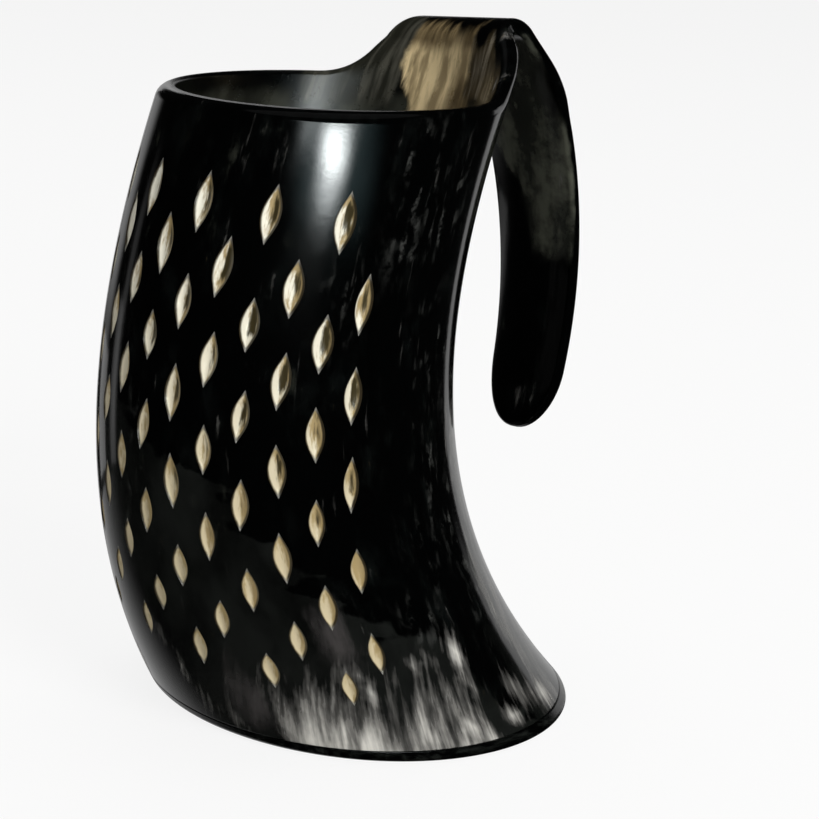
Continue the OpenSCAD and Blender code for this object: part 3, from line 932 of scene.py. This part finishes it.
def paint_horn(finish):
    """Polished black horn: faint clouds, a smoky zone, olive mottling, pale worn streaks, soft flecks, a tan
    riser, and beside it light strokes that are a painted highlight along the strap's edge. Each zone's
    border is broken up by grain that runs along the horn."""
    skin = Finish("polished_horn")
    threads, streaks, broad, blots, strokes, drift, mottle, brushed = (
        skin.on_grain(*numbers) for numbers in HORN_NOISES.values())

    def broken(zone, *weights):
        """The zone's share moved up and down by weighted noises about their middle."""
        value = skin.attribute(zone)
        for noise, weight in weights:
            value = value + (noise - 0.5)*weight
        return value

    def reach(low, high, zone, *weights):
        """The smooth step of a broken zone."""
        return skin.step(broken(zone, *weights), low, high)

    worn = broken("worn", (streaks, 1.5), (threads, 1.0), (broad, 0.7))
    soft = skin.step(brushed, 0.5, 0.74)*skin.step(blots, 0.44, 0.6)
    warm = skin.pair(broken("browned", (strokes, 1.0), (broad, 1.2)), 0.2, 0.9, finish.tan, finish.brown)
    strands = skin.pair(strokes*0.5 + streaks*0.6, 0.44, 0.7, STRAND_DARK, STRAND_LIGHT)
    layers = (
        (reach(0.36, 0.64, "smoke", (drift, 1.6), (broad, 1.0)),
         skin.pair(drift, 0.35, 0.65, finish.smoke*0.3, finish.smoke)),
        (reach(0.35, 1.1, "haze", (streaks, 1.0), (broad, 1.2)), finish.haze),
        (reach(0.3, 0.9, "olive", (mottle, 0.6)),
         skin.pair(mottle, 0.36, 0.7, finish.olive*0.25, finish.olive)),
        (reach(0.3, 0.85, "leg", (mottle, 1.4), (broad, 1.4)),
         skin.pair(mottle*0.7 + blots*0.35, 0.46, 0.66, finish.leg_dark, finish.leg_light)),
        (reach(0.5, 0.85, "flank", (streaks, 1.4), (broad, 2.4)),
         skin.pair(streaks, 0.4, 0.7, finish.soot, finish.ash*1.6)),
        (skin.step(worn, 0.28, 0.72), skin.pair(worn, 0.55, 1.5, finish.ash, finish.pale)),
        (skin.attribute("fleck")*soft, finish.fleck),
        (reach(0.3, 0.9, "tan", (strokes, 1.0), (broad, 1.2)), skin.mix(1, warm, strands, "MULTIPLY")),
        (reach(0.4, 0.9, "riser", (blots, 1.0)),
         skin.pair(streaks, 0.45, 0.7, finish.beside_dark, finish.beside_light)),
        # Brown horn, with light strokes painted in as a highlight along the strap's edge
        (reach(0.4, 0.9, "strokes", (blots, 0.8)),
         skin.pair(streaks, 0.42, 0.64, finish.stroke_dark, finish.stroke_highlight)),
        (reach(0.4, 0.8, "knot", (blots, 0.8)), finish.black))
    now = skin.pair(broad, 0.5, 0.8, finish.black, finish.cloud)
    for share_of, paint in layers:
        now = skin.mix(share_of, now, paint)
    roughness = blots*0.06 + 0.07 + skin.step(worn, 0.36, 0.8)*0.2 + skin.attribute("inside")*0.18
    return skin.surface(now, roughness, HORN_IOR, streaks + blots, 0.01*MM)


def paint_cut(finish):
    """Cut horn in the notches, with light and shade painted in: the pale horn is painted bright as the lit
    side, to one side and at the lower end, and tan with fibres on the side in shade, with painted shade as a
    dark hollow. Where the cut was shallow, at the points and along the rim, the dark skin shows, in an
    uneven line."""
    cut = Finish("cut_horn")
    across, along, dark, low = (cut.attribute("cut_" + key) for key in ("across", "along", "dark", "low"))
    fibres, cloud = (cut.on_grain(*numbers) for numbers in CUT_NOISES.values())
    fibre_sway, cloud_sway = fibres - 0.5, cloud - 0.5
    # Painted light: a lit side towards the lower left, brightest in the upper rows, where a glint is
    # painted, and the tan side in painted shade
    shade_slant = across*0.42 + along*0.3 + fibre_sway*1.3 + cloud_sway*2.2
    lit_side = cut.pair(low, 0, 0.7, finish.cut, finish.low_cut_lit)
    now = cut.pair(shade_slant, -0.25, 0.2, lit_side, finish.shaded_tan)
    # Painted shade: a dark hollow in the upper part of the deeper notches, strongest in the upper rows
    middle = 1 - abs((along - 0.15)*1.3)
    ridge = 1 - abs((across - 0.3)*1.6)
    deep = cut.math("MINIMUM", middle, ridge)*dark + fibre_sway*0.7
    now = cut.pair(deep, 0.1, 0.4, now, finish.hollow)
    end = 1 - along*along
    reached = (1 - across*across)*end - across*0.1 + fibre_sway*0.25 + cloud_sway*0.3
    border = cut.pair(end, 0.1, 0.55, finish.scuff, finish.border)
    now = cut.pair(reached, 0.2, 0.5, border, now)
    return cut.surface(now, 0.3, HORN_IOR, fibres, 0.04*MM)


def paint_plate(finish):
    """Black horn whose faint fibres run along the plate."""
    plate = Finish("plate_horn")
    fibres = plate.on_place(700, 4, 0.6, stretch=(0.1, 1, 1))
    paint = plate.pair(fibres, 0.45, 0.75, finish.black, finish.plate)
    return plate.surface(paint, 0.2, HORN_IOR, fibres, 0.04*MM)


def paint_bead(finish):
    """Amber resin with soft clouds."""
    resin = Finish("sealant_resin")
    cloud = resin.on_place(260)
    paint = resin.pair(cloud, 0.35, 0.7, finish.sealant_dark, finish.sealant)
    return resin.surface(paint, 0.25, RESIN_IOR, cloud, 0.2*MM)


# Studio

WHITE = (1, 1, 1)
FLOOR_SIDES = 96
CARD_STEPS = 16
TENT_ROWS, TENT_COLUMNS = 33, 64


def headings(azimuth, elevation):
    """Unit vectors towards azimuths, counted as the camera's is, and elevations."""
    level = np.cos(elevation)
    x, y, z = np.broadcast_arrays(np.sin(azimuth)*level, -np.cos(azimuth)*level, np.sin(elevation))
    return np.stack([x, y, z], -1)


def make_camera(studio):
    """The camera at the photograph's place: level aim, then rolled about its own line."""
    right = Vector((math.cos(studio.azimuth), math.sin(studio.azimuth), 0))
    away = Vector(headings(studio.azimuth, 0))
    eye = away*studio.distance + Vector((0, 0, studio.height)) + right*studio.aside
    target = Vector((0, 0, studio.aim_z)) + right*studio.aside
    forward = (target - eye).normalized()
    right = forward.cross(Vector((0, 0, 1))).normalized()
    up = right.cross(forward)
    cos, sin = math.cos(studio.roll), math.sin(studio.roll)
    columns = Matrix((cos*right + sin*up, -sin*right + cos*up, -forward)).transposed()
    data = bpy.data.cameras.new("camera")
    data.lens = studio.lens
    data.sensor_width = 36
    data.clip_start = 0.01
    data.clip_end = 50
    camera = bpy.data.objects.new("camera", data)
    camera.matrix_world = Matrix.Translation(eye) @ columns.to_4x4()
    bpy.context.scene.collection.objects.link(camera)
    bpy.context.scene.camera = camera


def stage_mesh(name, points, faces, material, **layers):
    """A mesh of the studio, which isn't part of the cup."""
    thing = add_mesh(name, points, faces.tolist(), layers)
    thing.data.materials.append(material)
    return thing


def seen_in_gloss_only(thing):
    for kind in ("camera", "diffuse", "transmission", "volume_scatter", "shadow"):
        setattr(thing, "visible_" + kind, False)


def make_floor(studio):
    """A pale round floor. Where it is seen, most of it is plain white, and the rest keeps the shadow."""
    paint = Finish("floor_paint")
    shade = paint.mix(paint.on_place(60), studio.floor*0.98, studio.floor)
    plain = paint.node("BsdfDiffuse", {"Color": shade})
    white = paint.node("Emission", {"Color": WHITE, "Strength": 1})
    both = paint.node("MixShader", {"Fac": paint.seen()*studio.floor_lift, 1: plain, 2: white})
    ring = studio.floor_r*headings(np.linspace(0, 2*math.pi, FLOOR_SIDES, endpoint=False), 0)
    floor = stage_mesh("floor", ring, np.arange(FLOOR_SIDES)[None], paint.end(both))
    floor.visible_glossy = False


def make_world(studio):
    """White wherever the camera, a gloss or a clear body sees it, and a plain soft light otherwise."""
    air = Finish("studio_air", "worlds")
    plain = air.node("Background", {"Strength": studio.air})
    white = air.node("Background", {"Color": WHITE})
    both = air.node("MixShader", {"Fac": air.seen(), 1: plain, 2: white})
    bpy.context.scene.world = air.end(both)


def make_card(studio, name, corners, level, soft=(0, 0), tint=WHITE):
    """A card that stands round the cup and shows in its gloss alone, of one brightness that fades
    towards its sides. Its corners are directions, (azimuth, elevation) in degrees, in the order low
    left, low right, high right, high left, and between them it is a patch of a sphere."""
    across, up = np.meshgrid(np.linspace(0, 1, CARD_STEPS), np.linspace(0, 1, CARD_STEPS))
    corners = np.array(corners, float)[:, :, None, None]
    low, high = mix(corners[0], corners[1], across), mix(corners[3], corners[2], across)
    points = studio.card_r*headings(*np.radians(mix(low, high, up))) + np.array([0, 0, studio.middle_z])
    glow = Finish(name)
    strength = level
    for key, width in zip(("across", "up"), soft):
        if width:
            place = glow.attribute(key)
            strength = glow.step(glow.math("MINIMUM", place, 1 - place), 0, width)*strength
    light = glow.node("Emission", {"Color": tint, "Strength": strength})
    both = glow.node("AddShader", {0: glow.node("BsdfTransparent", {}), 1: light})
    faces = grid_faces(CARD_STEPS, CARD_STEPS)
    card = stage_mesh(name, points, faces, glow.end(both), across=across.ravel(), up=up.ravel())
    seen_in_gloss_only(card)


def make_tent(studio):
    """A dark tent all round the cup, seen in its gloss alone, as black cards keep a polished black thing
    black in a white studio."""
    elevation = np.radians(np.linspace(-90, 90, TENT_ROWS))[:, None]
    azimuth = np.linspace(0, 2*math.pi, TENT_COLUMNS, endpoint=False)[None]
    cloth = Finish("tent_cloth")
    glow = cloth.node("Emission", {"Color": WHITE, "Strength": studio.tent_level})
    points = studio.tent_r*headings(azimuth, elevation)
    faces = grid_faces(TENT_ROWS, TENT_COLUMNS, wrap_columns=True)
    seen_in_gloss_only(stage_mesh("tent", points, faces, cloth.end(glow)))


def make_lamp(studio, name, azimuth, elevation, distance, size, share_of_white):
    """A square soft box facing the cup, seen in no gloss. It lights a white surface that faces it to
    the given share of white."""
    data = bpy.data.lights.new(name, "AREA")
    data.shape = "SQUARE"
    data.size = size
    data.energy = share_of_white*math.pi**2*distance**2
    lamp = bpy.data.objects.new(name, data)
    away = Vector(headings(math.radians(azimuth), math.radians(elevation)))
    turned = away.to_track_quat("Z", "Y").to_matrix().to_4x4()
    lamp.matrix_world = Matrix.Translation(away*distance + Vector((0, 0, studio.middle_z))) @ turned
    lamp.visible_glossy = False
    bpy.context.scene.collection.objects.link(lamp)


# Name, azimuth and elevation in degrees, distance and size in metres, share of white
LAMPS = (
    ("key", -5, 28, 1.6, 0.7, 0.72),
    ("overhead", 140, 75, 1.6, 1.2, 0.35))

def upright(left, low, right, high):
    """Corners of a card with level and upright sides."""
    return (left, low), (right, low), (right, high), (left, high)


# What the polish shows: name, corners as directions, brightness, softness of the sides, tint
DAYLIGHT = (0.94, 1, 1)
CARDS = (
    ("window", ((-38, 14), (-12, 6), (-22, 14), (-51, 22)), 38, (0.5, 0.3), DAYLIGHT),
    ("window_top", ((-56, 19), (-38, 15), (-46, 24), (-66, 30)), 3, (0.4, 0.3), DAYLIGHT),
    ("window_tail", ((-35, 10), (-12, 4), (-18, 9), (-43, 16)), 9, (0.5, 0.4), DAYLIGHT),
    ("window_halo", ((-47, 11), (14, -4), (-14, 16), (-76, 34)), 0.55, (0.3, 0.3), (0.62, 0.95, 1)),
    ("back_card", upright(102, -19, 160, 12), 0.5),
    ("left_card", upright(171, -19, 185, -10), 0.42),
    ("left_high", upright(156, -14, 186, 12), 0.42, (0.35, 0.4)),
    ("left_slip", upright(194, -19, 201, -4), 0.28),
    ("low_card", upright(110, -60, 206, -20), 0.42, (0.5, 0)),
    ("flare_card", upright(92, -9, 103, 12), 0.55, (0.2, 0.3)),
    ("leg_card", upright(196, -20, 204, 10), 0.17, (0.3, 0.3)),
    ("top_card", upright(0, 60, 359, 89), 0.06))


# Operators, panel and run


class HORNCUP_OT_horn(bpy.types.Operator):
    """Builds the carved horn: wall, strap handle and notches"""
    bl_idname = "horncup.horn"
    bl_label = "Horn body"

    def execute(self, context):
        finish = context.scene.horn_finish
        piece = build_horn(Cup(context.scene), context.scene.horn_notches)
        settle(piece, "horn_body", [paint_horn(finish), paint_cut(finish)])
        return {"FINISHED"}


class HORNCUP_OT_plate(bpy.types.Operator):
    """Builds the plate in the foot"""
    bl_idname = "horncup.plate"
    bl_label = "Base plate"

    def execute(self, context):
        piece = build_plate(Cup(context.scene))
        settle(piece, "base_plate", [paint_plate(context.scene.horn_finish)])
        return {"FINISHED"}


class HORNCUP_OT_bead(bpy.types.Operator):
    """Builds the bead of sealant in the corner of the floor"""
    bl_idname = "horncup.bead"
    bl_label = "Seal bead"

    def execute(self, context):
        piece = build_bead(Cup(context.scene))
        settle(piece, "seal_bead", [paint_bead(context.scene.horn_finish)])
        return {"FINISHED"}


class HORNCUP_OT_studio(bpy.types.Operator):
    """Builds the floor, the camera, the lamps and what the polish reflects"""
    bl_idname = "horncup.studio"
    bl_label = "Studio"

    def execute(self, context):
        studio = context.scene.horn_studio
        context.scene.view_settings.view_transform = "Standard"
        for make in (make_camera, make_floor, make_world, make_tent):
            make(studio)
        for lamp in LAMPS:
            make_lamp(studio, *lamp)
        for card in CARDS:
            make_card(studio, *card)
        return {"FINISHED"}


OPERATORS = (HORNCUP_OT_horn, HORNCUP_OT_plate, HORNCUP_OT_bead, HORNCUP_OT_studio)
GROUPS = {
    "horn_wall": HORNCUP_PG_wall,
    "horn_strap": HORNCUP_PG_strap,
    "horn_notches": HORNCUP_PG_notches,
    "horn_finish": HORNCUP_PG_finish,
    "horn_studio": HORNCUP_PG_studio,
}


class HORNCUP_PT_panel(bpy.types.Panel):
    """Lists the cup's sizes and its steps"""
    bl_idname = "HORNCUP_PT_panel"
    bl_label = "Horn Cup"
    bl_space_type = "VIEW_3D"
    bl_region_type = "UI"
    bl_category = "Horn Cup"

    def draw(self, context):
        for kind in OPERATORS:
            self.layout.operator(kind.bl_idname)
        for slot, kind in GROUPS.items():
            box = self.layout.box()
            for name in kind.__annotations__:
                box.prop(getattr(context.scene, slot), name)


def register():
    for kind in (*GROUPS.values(), *OPERATORS, HORNCUP_PT_panel):
        bpy.utils.register_class(kind)
    for slot, kind in GROUPS.items():
        setattr(bpy.types.Scene, slot, PointerProperty(type=kind))


def unregister():
    for slot in GROUPS:
        delattr(bpy.types.Scene, slot)
    for kind in (HORNCUP_PT_panel, *reversed(OPERATORS), *reversed(GROUPS.values())):
        bpy.utils.unregister_class(kind)


def main():
    register()
    bpy.ops.horncup.horn()
    bpy.ops.horncup.plate()
    bpy.ops.horncup.bead()
    bpy.ops.horncup.studio()


if __name__ == "__main__":
    main()
